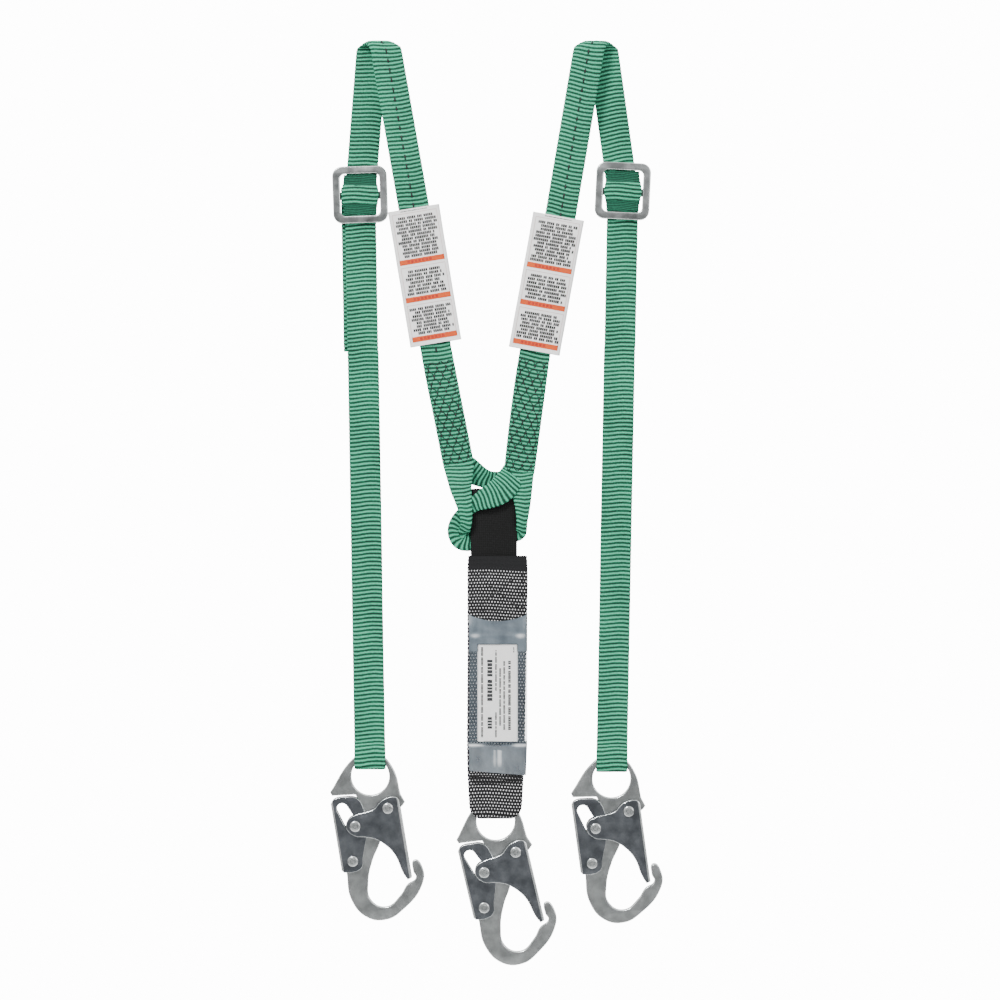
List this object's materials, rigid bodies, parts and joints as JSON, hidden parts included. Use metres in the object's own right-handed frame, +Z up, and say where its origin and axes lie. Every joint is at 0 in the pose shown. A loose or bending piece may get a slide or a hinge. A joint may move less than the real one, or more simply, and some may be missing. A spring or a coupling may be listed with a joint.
{
  "type": "shock absorbing lanyard",
  "caption": "Twin-leg webbing lanyard with a tear-webbing energy absorber pack, slide buckles and double-action snap hooks, hanging from a rail.",
  "frame": {"origin": "on the axis of the rail that the legs hang over, midway across the lanyard", "axes": "+Z up, +X to the right across both legs along the rail, -Y the printed front"},
  "size_m": [0.2738, 0.0366, 0.7583],
  "materials": {
    "green_webbing": "ribbed nylon webbing",
    "grey_webbing": "speckled tear webbing",
    "black_webbing": "plain sleeve",
    "plate_steel": "satin zinc",
    "sheet_steel": "dark satin",
    "bright_steel": "bright zinc",
    "label_white": "printed vinyl",
    "shrink_wrap": "clear film"
  },
  "bodies": {
    "root": {"left_leg_webbing": "green_webbing", "left_return_webbing": "green_webbing", "left_warning_label": "label_white", "right_leg_webbing": "green_webbing", "right_return_webbing": "green_webbing", "right_warning_label": "label_white", "pack_loop": "black_webbing"},
    "pack": {"pack_casing_webbing": "grey_webbing", "pack_tear_webbing": "grey_webbing", "pack_shrink_wrap": "shrink_wrap", "pack_inner_label": "label_white"},
    "left_buckle": {"left_slide_buckle": "bright_steel", "left_buckle_webbing": "green_webbing"},
    "right_buckle": {"right_slide_buckle": "bright_steel", "right_buckle_webbing": "green_webbing"},
    "left_hook": {"left_hook_webbing": "green_webbing", "left_hook_body": "plate_steel", "left_gate_pivot": "bright_steel", "left_lever_pivot": "bright_steel", "left_gate_spring": "bright_steel", "left_lever_spring": "bright_steel"},
    "left_gate": {"left_gate": "sheet_steel", "left_gate_pin": "bright_steel"},
    "left_lock_lever": {"left_lock_lever": "sheet_steel"},
    "right_hook": {"right_hook_webbing": "green_webbing", "right_hook_body": "plate_steel", "right_gate_pivot": "bright_steel", "right_lever_pivot": "bright_steel", "right_gate_spring": "bright_steel", "right_lever_spring": "bright_steel"},
    "right_gate": {"right_gate": "sheet_steel", "right_gate_pin": "bright_steel"},
    "right_lock_lever": {"right_lock_lever": "sheet_steel"},
    "pack_hook": {"pack_hook_webbing": "grey_webbing", "pack_hook_body": "plate_steel", "pack_gate_pivot": "bright_steel", "pack_lever_pivot": "bright_steel", "pack_gate_spring": "bright_steel", "pack_lever_spring": "bright_steel"},
    "pack_gate": {"pack_gate": "sheet_steel", "pack_gate_pin": "bright_steel"},
    "pack_lock_lever": {"pack_lock_lever": "sheet_steel"}
  },
  "joints": [
    {"name": "left_buckle_slide", "type": "slide", "parent": "root", "child": "left_buckle", "axis": [-0.0171, 0, 0.9999], "range_m": [-0.1, 0.008]},
    {"name": "right_buckle_slide", "type": "slide", "parent": "root", "child": "right_buckle", "axis": [0.019, 0, 0.9998], "range_m": [-0.1, 0.008]},
    {"name": "pack_flex", "type": "hinge", "parent": "root", "child": "pack", "pos_m": [0.005, -0.0061, -0.414], "axis": [1, 0, 0], "range_deg": [-30, 30]},
    {"name": "left_hook_flex", "type": "hinge", "parent": "root", "child": "left_hook", "pos_m": [-0.10031, 0.00735, -0.5673], "axis": [1, 0, 0], "range_deg": [-45, 45]},
    {"name": "left_gate_hinge", "type": "hinge", "parent": "left_hook", "child": "left_gate", "pos_m": [-0.08513, 0.00735, -0.62317], "axis": [0, 1, 0], "range_deg": [0, 26], "stiffness_Nm_per_rad": 0.25, "springref_deg": -20.05},
    {"name": "left_lever_hinge", "type": "hinge", "parent": "left_hook", "child": "left_lock_lever", "pos_m": [-0.11394, 0.00735, -0.6669], "axis": [0, 1, 0], "range_deg": [0, 9.2], "stiffness_Nm_per_rad": 0.25, "springref_deg": -20.05},
    {"name": "right_hook_flex", "type": "hinge", "parent": "root", "child": "right_hook", "pos_m": [0.09937, 0.00735, -0.56941], "axis": [1, 0, 0], "range_deg": [-45, 45]},
    {"name": "right_gate_hinge", "type": "hinge", "parent": "right_hook", "child": "right_gate", "pos_m": [0.11274, 0.00735, -0.62567], "axis": [0, 1, 0], "range_deg": [0, 26], "stiffness_Nm_per_rad": 0.25, "springref_deg": -20.05},
    {"name": "right_lever_hinge", "type": "hinge", "parent": "right_hook", "child": "right_lock_lever", "pos_m": [0.08272, 0.00735, -0.66858], "axis": [0, 1, 0], "range_deg": [0, 9.2], "stiffness_Nm_per_rad": 0.25, "springref_deg": -20.05},
    {"name": "pack_hook_flex", "type": "hinge", "parent": "pack", "child": "pack_hook", "pos_m": [0.0034, -0.0061, -0.5907], "axis": [1, 0, 0], "range_deg": [-40, 40]},
    {"name": "pack_gate_hinge", "type": "hinge", "parent": "pack_hook", "child": "pack_gate", "pos_m": [0.0198, -0.0061, -0.65751], "axis": [0, 1, 0], "range_deg": [0, 26], "stiffness_Nm_per_rad": 0.25, "springref_deg": -20.05},
    {"name": "pack_lever_hinge", "type": "hinge", "parent": "pack_hook", "child": "pack_lock_lever", "pos_m": [-0.00597, -0.0061, -0.7031], "axis": [0, 1, 0], "range_deg": [0, 9.2], "stiffness_Nm_per_rad": 0.25, "springref_deg": -20.05}
  ],
  "couplings": [
    {"joint": "left_lever_hinge", "follows": "left_gate_hinge", "ratio": 0.35},
    {"joint": "right_lever_hinge", "follows": "right_gate_hinge", "ratio": 0.35},
    {"joint": "pack_lever_hinge", "follows": "pack_gate_hinge", "ratio": 0.35}
  ]
}
